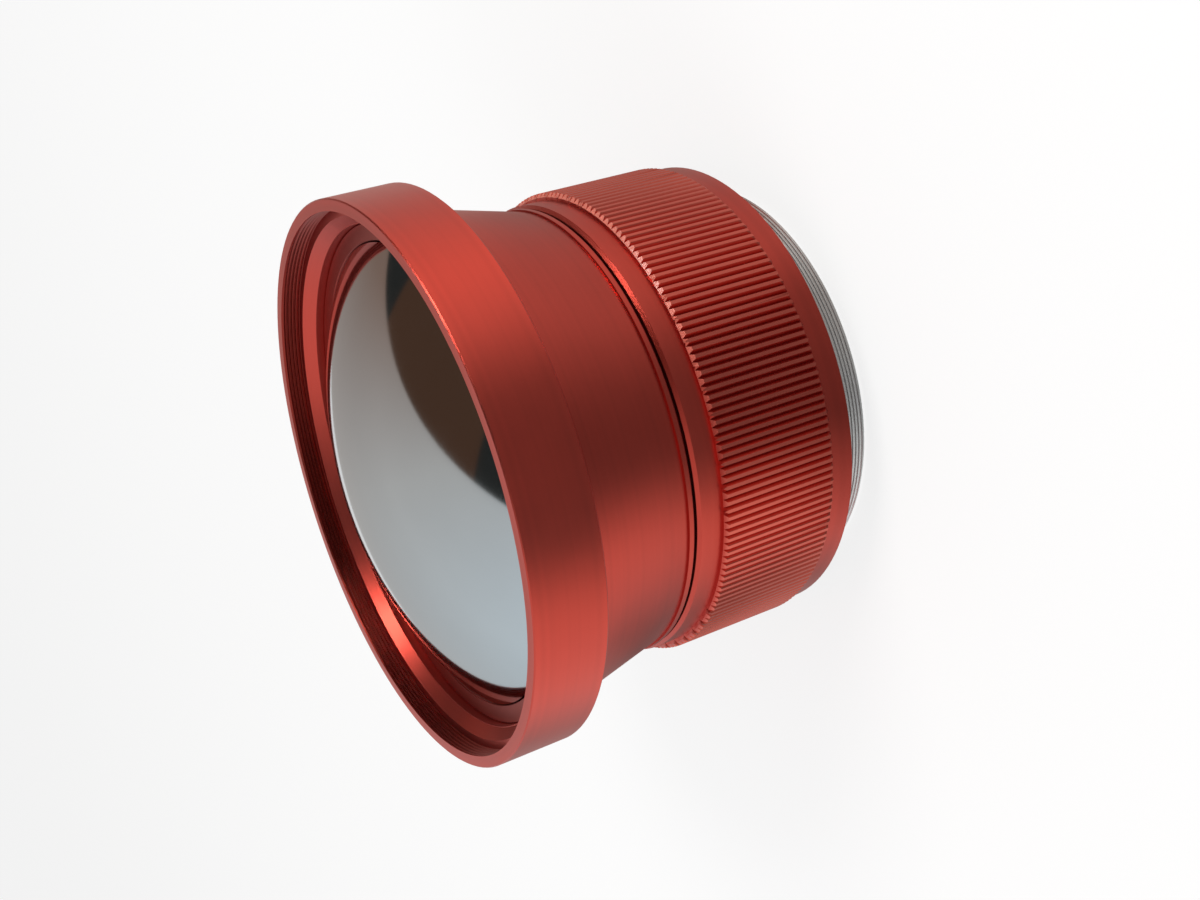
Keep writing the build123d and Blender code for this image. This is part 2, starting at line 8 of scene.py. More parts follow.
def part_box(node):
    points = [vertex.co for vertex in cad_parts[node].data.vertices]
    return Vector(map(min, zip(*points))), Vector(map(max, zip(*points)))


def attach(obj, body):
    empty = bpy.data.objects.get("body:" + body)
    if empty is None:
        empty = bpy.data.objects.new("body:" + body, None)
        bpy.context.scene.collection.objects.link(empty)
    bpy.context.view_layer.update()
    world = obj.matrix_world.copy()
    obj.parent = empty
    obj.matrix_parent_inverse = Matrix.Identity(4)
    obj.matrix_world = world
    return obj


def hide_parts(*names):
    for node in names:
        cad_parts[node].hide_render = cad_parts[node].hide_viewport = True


bl_info = {
    "name": "Terahertz Objective Lens",
    "version": (1, 0, 0),
    "blender": (4, 5, 0),
    "location": "View3D > Sidebar > Objective",
    "description": "Finishes, threads and a studio for an objective lens with a focus ring",
    "category": "Object",
}

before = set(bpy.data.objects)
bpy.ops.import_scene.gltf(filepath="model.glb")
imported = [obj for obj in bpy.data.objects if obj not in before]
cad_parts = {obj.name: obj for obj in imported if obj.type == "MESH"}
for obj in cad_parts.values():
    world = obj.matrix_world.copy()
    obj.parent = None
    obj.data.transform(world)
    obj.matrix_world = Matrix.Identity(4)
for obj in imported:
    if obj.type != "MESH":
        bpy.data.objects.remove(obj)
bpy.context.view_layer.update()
RIM_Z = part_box("front_barrel")[1].z
MOUNT_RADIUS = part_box("mount_ring")[1].x
KNURL_CREST_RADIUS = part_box("focus_ring")[1].y
# Length of the knurl and height of its middle
KNURL_LENGTH = 0.016
KNURL_MIDDLE = 0.01665
# Teeth as near as this to the middle of the stop screw's hole, which lies towards +Y, keep their sharp crests
SCREW_SIDE = 0.0016
# How near to a radius a point counts as on it, and how near points are to count as one
NEAR = 0.00002
TOUCH = 0.000001
# How far a thread ridge reaches into the wall it stands on, and its crest's width as a share of the pitch
RIDGE_FOOT = 0.00002
RIDGE_CREST_SHARE = 0.125
# How far the blank that trims the mount thread stands past its crests
BLANK_OVER = 0.0001
# Rings of points over each curved face of the front element
CURVE_RINGS = 36
# Smooth shading stops at edges that turn more than this, in degrees
SMOOTH_ANGLE = 30

# Red finish: the sheen over the dye, and how far colour and roughness go up and down over the mottle
RED_SHEEN = 0.42
SHEEN_ROUGHNESS = 0.55
RED_SPREAD = 0.14
ROUGHNESS_SPREAD = 0.04
# Knurl: the crests are a lighter red, from the first depth under them, where it starts, to the second, where
# it is full
CREST_LIGHTER_DEPTHS = (0.00040, 0.00010)
CREST_RED = (0.72, 0.13, 0.09)
# The front tooth ends are faces above the roots that look up by more than the rise; a painted highlight
# lightens them along X
TOOTH_DEPTH = 0.00055
TOOTH_END_RISE = 0.35
TOOTH_END_LIT_SIDE = (-0.008, 0.012)
TOOTH_END_HIGHLIGHT_PINK = (0.64, 0.17, 0.12)

# Photograph's view: the camera stands on the -Y side and is rolled, so that +X is up in the picture
CAMERA_PLACE = Vector((0.0, -0.1910, RIM_Z + 0.06404))
CAMERA_RIGHT = Vector((-0.30069, -0.42200, -0.85529))
CAMERA_UP = Vector((0.95359, -0.11803, -0.27701))
CAMERA_BACK = Vector((0.01595, -0.89888, 0.43790))
CAMERA_LENS = 48.5
CAMERA_SENSOR = 36.0
CAMERA_CLIP = (0.01, 50.0)


class ThreadSettings(bpy.types.PropertyGroup):
    """Sizes of the two fine threads."""

    pitch: bpy.props.FloatProperty(
        name="Pitch", description="Distance between crests", default=0.0005, unit="LENGTH"
    )
    filter_root: bpy.props.FloatProperty(
        name="Filter thread root", description="Radius of the bore wall", default=0.0350, unit="LENGTH"
    )
    filter_crest: bpy.props.FloatProperty(
        name="Filter thread crest", description="Radius at the crests", default=0.03473, unit="LENGTH"
    )
    filter_depth: bpy.props.FloatProperty(
        name="Filter thread depth", description="From the rim to the ledge", default=0.00265, unit="LENGTH"
    )
    mount_crest: bpy.props.FloatProperty(
        name="Mount thread crest", description="Radius at the crests", default=0.0265, unit="LENGTH"
    )
    mount_end: bpy.props.FloatProperty(
        name="Mount thread end", description="Height where the thread stops", default=0.0050, unit="LENGTH"
    )
    mount_chamfer: bpy.props.FloatProperty(
        name="Lead chamfer", description="Height of the chamfer at the rear", default=0.0007, unit="LENGTH"
    )
    steps: bpy.props.IntProperty(name="Steps", description="Steps in one turn", default=144, min=24)


class ElementSettings(bpy.types.PropertyGroup):
    """Sizes of the front element, from its seat up."""

    front_curve: bpy.props.FloatProperty(
        name="Front curve", description="Radius of the bulging front", default=0.0560, unit="LENGTH"
    )
    front_edge: bpy.props.FloatProperty(
        name="Front edge",
        description="Radius of the flank inside the retaining ring",
        default=0.02985,
        unit="LENGTH",
    )
    neck_height: bpy.props.FloatProperty(
        name="Neck height", description="Where the flank starts to widen", default=0.0056, unit="LENGTH"
    )
    shoulder_height: bpy.props.FloatProperty(
        name="Shoulder height",
        description="Where the flank meets the soft ring",
        default=0.00425,
        unit="LENGTH",
    )
    shoulder_radius: bpy.props.FloatProperty(
        name="Shoulder", description="Radius of the flank at the soft ring", default=0.03043, unit="LENGTH"
    )
    rim_height: bpy.props.FloatProperty(
        name="Rim height", description="Height of the rim", default=0.00304, unit="LENGTH"
    )
    rear_curve: bpy.props.FloatProperty(
        name="Rear curve", description="Radius of the hollow rear", default=0.0840, unit="LENGTH"
    )
    rear_edge: bpy.props.FloatProperty(
        name="Rear edge", description="Radius where the hollow starts", default=0.0293, unit="LENGTH"
    )
    steps: bpy.props.IntProperty(name="Steps", description="Steps in one turn", default=192, min=24)


class KnurlSettings(bpy.types.PropertyGroup):
    """Sizes of the knurl's crests."""

    crest_cut: bpy.props.FloatProperty(
        name="Crest cut",
        description="How far down its flanks each tooth is cut flat",
        default=0.00031,
        unit="LENGTH",
    )
    end_slope: bpy.props.FloatProperty(
        name="End slope",
        description="How far back the crests end, behind the roots",
        default=0.0004,
        unit="LENGTH",
    )


class FinishSettings(bpy.types.PropertyGroup):
    """Colours and gloss of the finishes."""

    red: bpy.props.FloatVectorProperty(
        name="Red anodising",
        description="Colour of the dyed metal",
        subtype="COLOR",
        default=(0.58, 0.062, 0.040),
    )
    red_roughness: bpy.props.FloatProperty(
        name="Red roughness", description="Roughness of the blasted metal", default=0.34, subtype="FACTOR"
    )
    silicon: bpy.props.FloatVectorProperty(
        name="Silicon",
        description="Colour of the polished silicon",
        subtype="COLOR",
        default=(0.46, 0.50, 0.52),
    )
    aluminium: bpy.props.FloatVectorProperty(
        name="Bare aluminium",
        description="Colour of the bare metal",
        subtype="COLOR",
        default=(0.92, 0.92, 0.91),
    )
    black: bpy.props.FloatVectorProperty(
        name="Black anodising",
        description="Colour of the inner parts",
        subtype="COLOR",
        default=(0.012, 0.012, 0.013),
    )


# Light that the turned surfaces mirror, on a card low over the floor. Each ring of the card has its radius
# and its stops of angle and brightness. The angle goes from image top round to image bottom on the camera's
# side, and 90 is the side towards the camera. From ring to ring the brightness goes smoothly.
INNER_STOPS = (
    (34, 0.25),
    (42, 0.32),
    (52, 0.47),
    (71, 0.60),
    (81, 0.29),
    (99, 0.15),
    (109, 0.45),
    (119, 0.76),
    (129, 0.41),
)
MIDDLE_STOPS = (
    (16, 0.29),
    (29, 0.27),
    (41, 0.45),
    (66, 0.51),
    (78, 0.39),
    (88, 0.17),
    (102, 0.18),
    (114, 1.05),
    (126, 0.83),
    (139, 0.12),
)
OUTER_STOPS = (
    (0, 0.42),
    (22, 0.50),
    (40, 0.62),
    (58, 1.10),
    (68, 0.92),
    (80, 0.20),
    (108, 0.16),
    (118, 0.92),
    (138, 1.08),
    (150, 0.40),
)
LOW_CARD = ((0.043, INNER_STOPS), (0.068, MIDDLE_STOPS), (0.095, OUTER_STOPS))
# Warm light on the side of image top, up to the angle of the turn, plain light past it, and a channel's limit
CARD_WARM = (1.08, 0.90, 0.82)
CARD_PLAIN = (1.02, 1.0, 0.98)
CARD_TINT_TURN = 60
CARD_MOST = 2.0

# What mirror rays see of the room, from the side of image bottom to the side of image top. The sides are the
# X of a ray's direction at both ends, and the middle's place is its share of the way.
ROOM_LOW_X = (0.90, 0.96, 1.0)
ROOM_MIDDLE = (0.72, 0.68, 0.65)
ROOM_HIGH_X = (0.36, 0.23, 0.18)
ROOM_SIDES = (-0.6, 0.5)
ROOM_MIDDLE_PLACE = 0.55
# The room is dimmed by this factor up to the first height, the Z of a ray's direction, not past the second
HORIZON_DIM = 0.74
HORIZON_HEIGHTS = (0.05, 0.6)

# Dark panel overhead that shows on the front element: brown with black ends. It runs along U and lies over V,
# both as shares of its height over the rim.
PANEL_HEIGHT = 0.60
PANEL_U = (-0.60, 0.18, 1.42, 2.60)
PANEL_V = (-0.27, 0.90)
PANEL_DIRECTION = Vector((0.69, 0.72, 0.0))
PANEL_BROWN = (0.105, 0.050, 0.030)
PANEL_BLACK = (0.030, 0.030, 0.028)

# Small bright window, high on the side of image top, that lights the bevels and edges
GLINT_DIRECTION = Vector((0.62, -0.10, 0.78))
GLINT_DISTANCE = 0.45
GLINT_RADIUS = 0.045
GLINT_STRENGTH = 26.0

# Floor: its own grey in the light, and the share of plain white that it shows to the camera and to mirrors
FLOOR_GREY = 0.9
FLOOR_WHITE_SHARE = 0.75

# Soft lamps: place, width, power and colour; both face a point in the middle of the object
LAMP_TARGET = (0, 0, 0.03)
KEY_LAMP = ((0.45, -0.35, 0.55), 0.35, 3.0, (1.0, 0.96, 0.92))
FILL_LAMP = ((-0.6, -0.2, 0.35), 0.5, 2.0, (0.95, 0.97, 1.0))


class StudioSettings(bpy.types.PropertyGroup):
    """Floor, light and reflection cards."""

    floor_size: bpy.props.FloatProperty(
        name="Floor", description="Width of the floor", default=14.0, unit="LENGTH"
    )
    room: bpy.props.FloatProperty(name="Room light", description="Strength of the room's light", default=0.62)
    card_radius: bpy.props.FloatProperty(
        name="Low card", description="Radius of the card round the object", default=0.6, unit="LENGTH"
    )
    card_height: bpy.props.FloatProperty(
        name="Card height", description="Height of the low card over the floor", default=0.0003, unit="LENGTH"
    )


def new_group(name, inputs, outputs):
    """A shader group with its named sockets, and its input and output nodes."""
    group = bpy.data.node_groups.new(name, "ShaderNodeTree")
    for socket_name, kind, default in inputs:
        socket = group.interface.new_socket(socket_name, in_out="INPUT", socket_type=kind)
        if default is not None:
            socket.default_value = default
    for socket_name, kind in outputs:
        group.interface.new_socket(socket_name, in_out="OUTPUT", socket_type=kind)
    return group, group.nodes.new("NodeGroupInput"), group.nodes.new("NodeGroupOutput")


def add_node(tree, kind, values=None, **settings):
    """A node with its settings, and its input values by name or place."""
    node = tree.nodes.new(kind)
    for key, value in settings.items():
        setattr(node, key, value)
    for key, value in (values or {}).items():
        node.inputs[key].default_value = value
    return node


def link(tree, start, end):
    """Links an output socket to an input socket."""
    tree.links.new(start, end)


def math_node(tree, operation, first, second=None):
    """The result of one operation on sockets or plain numbers."""
    node = add_node(tree, "ShaderNodeMath", operation=operation)
    for place, value in enumerate((first, second)):
        if value is None:
            continue
        if isinstance(value, (int, float)):
            node.inputs[place].default_value = value
        else:
            link(tree, value, node.inputs[place])
    return node.outputs[0]


def radius_and_height(tree, vector):
    """Distance from the optical axis, and height along it."""
    parts = add_node(tree, "ShaderNodeSeparateXYZ")
    link(tree, vector, parts.inputs[0])
    x_square = math_node(tree, "MULTIPLY", parts.outputs[0], parts.outputs[0])
    y_square = math_node(tree, "MULTIPLY", parts.outputs[1], parts.outputs[1])
    radius = math_node(tree, "SQRT", math_node(tree, "ADD", x_square, y_square))
    return radius, parts.outputs[2]


def turning_marks_group():
    """Fine rings round the optical axis, as a turning tool leaves them."""
    group, start, end = new_group(
        "turning_marks",
        [("Vector", "NodeSocketVector", None), ("Marks per metre", "NodeSocketFloat", 9000.0)],
        [("Height", "NodeSocketFloat"), ("Bands", "NodeSocketFloat")],
    )
    radius, height = radius_and_height(group, start.outputs["Vector"])
    along = math_node(group, "ADD", radius, height)
    fine_place = math_node(group, "MULTIPLY", along, start.outputs["Marks per metre"])
    fine = add_node(group, "ShaderNodeTexNoise", {"Scale": 1.0, "Detail": 2.0}, noise_dimensions="1D")
    link(group, fine_place, fine.inputs["W"])
    wide_place = math_node(group, "MULTIPLY", along, 900.0)
    wide = add_node(group, "ShaderNodeTexNoise", {"Scale": 1.0, "Detail": 1.0}, noise_dimensions="1D")
    link(group, wide_place, wide.inputs["W"])
    link(group, fine.outputs[0], end.inputs["Height"])
    link(group, wide.outputs[0], end.inputs["Bands"])
    return group


def blasted_grain_group():
    """Grain of a bead-blasted surface, and a soft mottle over it."""
    group, start, end = new_group(
        "blasted_grain",
        [("Vector", "NodeSocketVector", None), ("Grains per metre", "NodeSocketFloat", 9000.0)],
        [("Height", "NodeSocketFloat"), ("Mottle", "NodeSocketFloat")],
    )
    grain = add_node(group, "ShaderNodeTexNoise", {"Detail": 2.0, "Roughness": 0.6})
    link(group, start.outputs["Vector"], grain.inputs["Vector"])
    link(group, start.outputs["Grains per metre"], grain.inputs["Scale"])
    mottle = add_node(group, "ShaderNodeTexNoise", {"Scale": 140.0, "Detail": 3.0})
    link(group, start.outputs["Vector"], mottle.inputs["Vector"])
    link(group, grain.outputs[0], end.inputs["Height"])
    link(group, mottle.outputs[0], end.inputs["Mottle"])
    return group


def scaled(tree, value, low, high):
    """A value from 0 to 1, spread from low to high."""
    node = add_node(tree, "ShaderNodeMapRange", {"To Min": low, "To Max": high})
    link(tree, value, node.inputs[0])
    return node.outputs[0]


def tinted(tree, value, dark, light):
    """A colour that goes from dark to light as the value goes from 0 to 1."""
    node = add_node(tree, "ShaderNodeMix", data_type="RGBA")
    node.inputs["A"].default_value = (*dark, 1.0)
    node.inputs["B"].default_value = (*light, 1.0)
    link(tree, value, node.inputs["Factor"])
    return node.outputs["Result"]


def shade(colour, factor, most=1.0):
    """A colour made lighter or darker."""
    return tuple(min(most, channel * factor) for channel in colour)


class Finish:
    """A material with its Principled shader, object coordinates and the shared groups."""

    def __init__(self, name, groups, **shader):
        self.material = bpy.data.materials.new(name)
        self.material.use_nodes = True
        self.tree = self.material.node_tree
        self.groups = groups
        self.shader = self.tree.nodes["Principled BSDF"]
        for key, value in shader.items():
            self.shader.inputs[key.replace("_", " ")].default_value = value
        self.place = self.tree.nodes.new("ShaderNodeTexCoord").outputs["Object"]

    def group(self, name, **values):
        """A shared group, fed with the object coordinates."""
        node = self.tree.nodes.new("ShaderNodeGroup")
        node.node_tree = self.groups[name]
        link(self.tree, self.place, node.inputs["Vector"])
        for key, value in values.items():
            node.inputs[key.replace("_", " ")].default_value = value
        return node

    def feed(self, socket, value):
        """Links a value to one of the shader's sockets."""
        link(self.tree, value, self.shader.inputs[socket])

    def feed_colour(self, value, dark, light):
        """Base colour that goes from dark to light with the value."""
        self.feed("Base Color", tinted(self.tree, value, dark, light))

    def feed_roughness(self, value, low, high):
        """Roughness that goes from low to high with the value."""
        self.feed("Roughness", scaled(self.tree, value, low, high))

    def bump(self, heights):
        """Bump nodes in a chain, each from a height, its distance in metres and its strength."""
        normal = None
        for height, distance, strength in heights:
            bump = add_node(self.tree, "ShaderNodeBump", {"Strength": strength, "Distance": distance})
            link(self.tree, height, bump.inputs["Height"])
            if normal is not None:
                link(self.tree, normal, bump.inputs["Normal"])
            normal = bump.outputs[0]
        self.feed("Normal", normal)


def mask(tree, value, low, high):
    """0 up to the low value and 1 past the high one, with an even rise between them."""
    node = add_node(tree, "ShaderNodeMapRange", {"From Min": low, "From Max": high})
    link(tree, value, node.inputs[0])
    return node.outputs[0]


def mixed_colour(tree, share, first, second):
    """From the first colour, a socket, to the second, a socket or plain numbers, as the share goes to 1."""
    node = add_node(tree, "ShaderNodeMix", data_type="RGBA")
    link(tree, share, node.inputs["Factor"])
    link(tree, first, node.inputs["A"])
    if isinstance(second, tuple):
        node.inputs["B"].default_value = (*second, 1.0)
    else:
        link(tree, second, node.inputs["B"])
    return node.outputs["Result"]


def lighter_crests_and_painted_highlight(made, colour):
    """Lightens the knurl's crests, and paints a highlight on its front tooth ends on the side of image top.
    """
    tree = made.tree
    radius, height = radius_and_height(tree, made.place)
    low, high = (KNURL_CREST_RADIUS - down for down in CREST_LIGHTER_DEPTHS)
    crests = mixed_colour(tree, mask(tree, radius, low, high), colour, CREST_RED)
    past_root = math_node(tree, "GREATER_THAN", radius, KNURL_CREST_RADIUS - TOOTH_DEPTH)
    facing = add_node(tree, "ShaderNodeSeparateXYZ")
    link(tree, tree.nodes.new("ShaderNodeTexCoord").outputs["Normal"], facing.inputs[0])
    past_middle = math_node(tree, "GREATER_THAN", height, KNURL_MIDDLE)
    sloped = math_node(tree, "GREATER_THAN", facing.outputs[2], TOOTH_END_RISE)
    near_end = math_node(tree, "MULTIPLY", past_middle, sloped)
    across = add_node(tree, "ShaderNodeSeparateXYZ")
    link(tree, made.place, across.inputs[0])
    # Painted highlight: the front tooth ends turn pink and lose their metal towards the side of image top
    highlight_side = math_node(tree, "MULTIPLY", near_end, mask(tree, across.outputs[0], *TOOTH_END_LIT_SIDE))
    tooth_end_highlight = math_node(tree, "MULTIPLY", past_root, highlight_side)
    made.feed("Metallic", math_node(tree, "SUBTRACT", 1.0, tooth_end_highlight))
    return mixed_colour(tree, tooth_end_highlight, crests, TOOTH_END_HIGHLIGHT_PINK)


def red_anodised(groups, finish, name, depth=1.0, marks=0.5, knurled=False):
    """Dyed, blasted aluminium with tool marks. A depth under 1 is painted shade: darker, with less sheen."""
    red = shade(tuple(finish.red), depth)
    made = Finish(name, groups, Metallic=1.0, Coat_Weight=RED_SHEEN * depth, Coat_Roughness=SHEEN_ROUGHNESS)
    grain = made.group("blasted_grain", Grains_per_metre=11000.0)
    turned = made.group("turning_marks", Marks_per_metre=6000.0)
    mixed = math_node(made.tree, "ADD", grain.outputs["Mottle"], turned.outputs["Bands"])
    tone = math_node(made.tree, "MULTIPLY", mixed, 0.5)
    colour = tinted(made.tree, tone, shade(red, 1 - RED_SPREAD), shade(red, 1 + RED_SPREAD))
    if knurled:
        colour = lighter_crests_and_painted_highlight(made, colour)
    made.feed("Base Color", colour)
    rough = finish.red_roughness
    made.feed_roughness(grain.outputs["Mottle"], rough - ROUGHNESS_SPREAD, rough + ROUGHNESS_SPREAD)
    made.bump([(turned.outputs["Height"], 0.000003, marks), (grain.outputs["Height"], 0.000004, 0.5)])
    return made.material


def polished_silicon(groups, finish):
    """Opaque, mirror-like silicon with faint polishing haze."""
    colour = tuple(finish.silicon)
    made = Finish("polished_silicon", groups, Metallic=1.0)
    grain = made.group("blasted_grain", Grains_per_metre=5000.0)
    made.feed_colour(grain.outputs["Mottle"], shade(colour, 0.97), shade(colour, 1.03))
    made.feed_roughness(grain.outputs["Mottle"], 0.06, 0.10)
    made.bump([(grain.outputs["Height"], 0.0000006, 0.4)])
    return made.material


def bare_aluminium(groups, finish, name, marks):
    """Turned aluminium with its tool marks."""
    colour = tuple(finish.aluminium)
    made = Finish(name, groups, Metallic=1.0)
    turned = made.group("turning_marks", Marks_per_metre=12000.0)
    grain = made.group("blasted_grain", Grains_per_metre=9000.0)
    made.feed_colour(turned.outputs["Bands"], shade(colour, 0.9), shade(colour, 1.08))
    made.feed_roughness(grain.outputs["Mottle"], 0.26, 0.38)
    made.bump([(turned.outputs["Height"], 0.000004, marks), (grain.outputs["Height"], 0.000002, 0.4)])
    return made.material


def black_anodised(groups, finish):
    """Matte black inner metal."""
    colour = tuple(finish.black)
    made = Finish("black_anodised", groups, Metallic=0.3)
    grain = made.group("blasted_grain", Grains_per_metre=8000.0)
    turned = made.group("turning_marks", Marks_per_metre=5000.0)
    made.feed_colour(grain.outputs["Mottle"], shade(colour, 0.7), shade(colour, 1.6))
    made.feed_roughness(grain.outputs["Mottle"], 0.42, 0.55)
    made.bump([(turned.outputs["Height"], 0.000004, 0.5), (grain.outputs["Height"], 0.000005, 0.5)])
    return made.material


def plain_steel(groups):
    """Stainless pins, screws and the spring ring."""
    made = Finish("plain_steel", groups, Metallic=1.0)
    grain = made.group("blasted_grain", Grains_per_metre=12000.0)
    made.feed_colour(grain.outputs["Mottle"], (0.50, 0.50, 0.49), (0.62, 0.61, 0.60))
    made.feed_roughness(grain.outputs["Mottle"], 0.24, 0.36)
    made.bump([(grain.outputs["Height"], 0.000002, 0.4)])
    return made.material


def soft_material(groups, name, dark, light, roughness, grains, depth):
    """Rubber, felt and the white washers: a non-metal with its own grain."""
    made = Finish(name, groups)
    grain = made.group("blasted_grain", Grains_per_metre=grains)
    made.feed_colour(grain.outputs["Mottle"], dark, light)
    made.feed_roughness(grain.outputs["Height"], roughness - 0.06, roughness + 0.06)
    made.bump([(grain.outputs["Height"], depth, 0.7)])
    return made.material


def paint(node_name, material):
    """Puts a material on every slot of a CAD node."""
    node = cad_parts[node_name]
    for place in node.material_slots:
        place.material = material


def deselect_all():
    """Deselects every object."""
    bpy.ops.object.select_all(action="DESELECT")


def select_points(obj, wanted):
    """In edit mode, selects the points for which wanted(point) holds."""
    bpy.ops.mesh.select_all(action="DESELECT")
    mesh = bmesh.from_edit_mesh(obj.data)
    for vertex in mesh.verts:
        vertex.select = wanted(vertex.co)
    mesh.select_flush_mode()
    bmesh.update_edit_mesh(obj.data)


def thread_ridge(name, root, crest, pitch, low, turns, steps):
    """A helical ridge: a trapezoid profile on the XZ plane, taken round the axis by a screw."""
    deselect_all()
    middle = (root + crest) / 2
    bpy.ops.mesh.primitive_plane_add(size=1.0, rotation=(pi / 2, 0, 0), location=(middle, 0, low))
    ridge = bpy.context.object
    ridge.name = name
    ridge.scale = (abs(root - crest), pitch, 1.0)
    bpy.ops.object.transform_apply(location=True, rotation=True, scale=True)
    bpy.ops.object.mode_set(mode="EDIT")
    outward = 1 if crest > root else -1
    select_points(ridge, lambda point: (point.x - middle) * outward > 0)
    bpy.ops.transform.resize(value=(1, 1, RIDGE_CREST_SHARE), center_override=(crest, 0, low))
    bpy.ops.mesh.select_all(action="SELECT")
    bpy.ops.mesh.delete(type="ONLY_FACE")
    bpy.ops.object.mode_set(mode="OBJECT")
    screw = ridge.modifiers.new("turns", "SCREW")
    screw.axis = "Z"
    screw.screw_offset = pitch
    screw.iterations = turns
    screw.steps = steps
    screw.render_steps = steps
    bpy.ops.object.modifier_apply(modifier="turns")
    bpy.ops.object.mode_set(mode="EDIT")
    bpy.ops.mesh.select_all(action="SELECT")
    bpy.ops.mesh.fill_holes(sides=4)
    bpy.ops.mesh.select_all(action="SELECT")
    bpy.ops.mesh.normals_make_consistent(inside=False)
    bpy.ops.object.mode_set(mode="OBJECT")
    return ridge


def finish_piece(piece, material, body):
    """Smooths a new piece, paints it and hangs it on its body."""
    deselect_all()
    piece.select_set(True)
    bpy.context.view_layer.objects.active = piece
    bpy.ops.object.shade_smooth_by_angle(angle=radians(SMOOTH_ANGLE))
    piece.data.materials.clear()
    piece.data.materials.append(material)
    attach(piece, body)


class OBJECTIVE_OT_finishes(bpy.types.Operator):
    """Makes the finishes and puts them on the CAD nodes."""

    bl_idname = "objective.finishes"
    bl_label = "Finish the Nodes"

    def execute(self, context):
        finish = context.scene.objective_finish
        groups = {"turning_marks": turning_marks_group(), "blasted_grain": blasted_grain_group()}
        red = red_anodised(groups, finish, "red_anodised")
        # Painted shade: the retaining ring and the filter thread get darker copies of the red anodising
        shaded_red = red_anodised(groups, finish, "red_shaded", depth=0.5)
        red_anodised(groups, finish, "red_thread", depth=0.52, marks=0.05)
        bare_aluminium(groups, finish, "thread_aluminium", marks=0.05)
        knurled = red_anodised(groups, finish, "red_knurled", knurled=True)
        silicon = polished_silicon(groups, finish)
        aluminium = bare_aluminium(groups, finish, "turned_aluminium", marks=0.6)
        black = black_anodised(groups, finish)
        steel = plain_steel(groups)
        rubber = soft_material(groups, "black_rubber", (0.008,) * 3, (0.02,) * 3, 0.6, 9000.0, 0.00001)
        felt = soft_material(groups, "black_felt", (0.01,) * 3, (0.05,) * 3, 0.9, 5000.0, 0.00006)
        dark_white, light_white = (0.72, 0.71, 0.67), (0.82, 0.81, 0.78)
        polymer = soft_material(groups, "white_polymer", dark_white, light_white, 0.45, 7000.0, 0.000004)
        on_nodes = {
            "front_barrel": red,
            "front_retaining_ring": shaded_red,
            "focus_ring": knurled,
            "front_lens": silicon,
            "rear_lens": silicon,
            "mount_ring": aluminium,
            "helicoid_tube": red,
            "aperture_stop": black,
            "rear_retaining_ring": black,
            "bearing_plate": black,
            "focus_ring_retainer": black,
            "stop_snap_ring": steel,
            "guide_pins": steel,
            "stop_screw": steel,
            "mount_screws": steel,
            "front_lens_o_ring": rubber,
            "rear_lens_o_ring": rubber,
            "dust_seal": felt,
            "front_lens_shim": polymer,
            "front_thrust_washer": polymer,
            "rear_thrust_washer": polymer,
        }
        for node_name, material in on_nodes.items():
            paint(node_name, material)
        return {"FINISHED"}


class OBJECTIVE_OT_filter_thread(bpy.types.Operator):
    """Turns the filter thread inside the rim."""

    bl_idname = "objective.filter_thread"
    bl_label = "Add Filter Thread"

    def execute(self, context):
        sizes = context.scene.objective_threads
        turns = int(sizes.filter_depth / sizes.pitch) + 1
        low = RIM_Z - sizes.pitch / 2 - turns * sizes.pitch
        foot = sizes.filter_root + RIDGE_FOOT
        ridge = thread_ridge(
            "filter_thread", foot, sizes.filter_crest, sizes.pitch, low, turns, sizes.steps
        )
        finish_piece(ridge, bpy.data.materials["red_thread"], "barrel")
        return {"FINISHED"}


class OBJECTIVE_OT_mount_thread(bpy.types.Operator):
    """Turns the male thread of the mount ring, with its lead chamfer."""

    bl_idname = "objective.mount_thread"
    bl_label = "Add Mount Thread"

    def execute(self, context):
        sizes = context.scene.objective_threads
        turns = int(sizes.mount_end / sizes.pitch)
        foot = MOUNT_RADIUS - RIDGE_FOOT
        ridge = thread_ridge(
            "mount_thread", foot, sizes.mount_crest, sizes.pitch, 0.0, turns, sizes.steps
        )
        deselect_all()
        bpy.ops.mesh.primitive_cylinder_add(
            vertices=sizes.steps,
            radius=sizes.mount_crest + BLANK_OVER,
            depth=sizes.mount_end,
            location=(0, 0, sizes.mount_end / 2),
        )
        blank = bpy.context.object
        bpy.ops.object.transform_apply(location=True, rotation=True, scale=True)
        bpy.ops.object.mode_set(mode="EDIT")
        select_points(blank, lambda point: point.z < sizes.mount_end / 2)
        bpy.ops.mesh.bevel(offset=sizes.mount_chamfer + BLANK_OVER, offset_type="OFFSET", segments=1)
        bpy.ops.object.mode_set(mode="OBJECT")
        deselect_all()
        ridge.select_set(True)
        context.view_layer.objects.active = ridge
        trim = ridge.modifiers.new("chamfer", "BOOLEAN")
        trim.operation = "INTERSECT"
        trim.solver = "EXACT"
        trim.object = blank
        bpy.ops.object.modifier_apply(modifier="chamfer")
        bpy.data.objects.remove(blank)
        finish_piece(ridge, bpy.data.materials["thread_aluminium"], "mount")
        return {"FINISHED"}


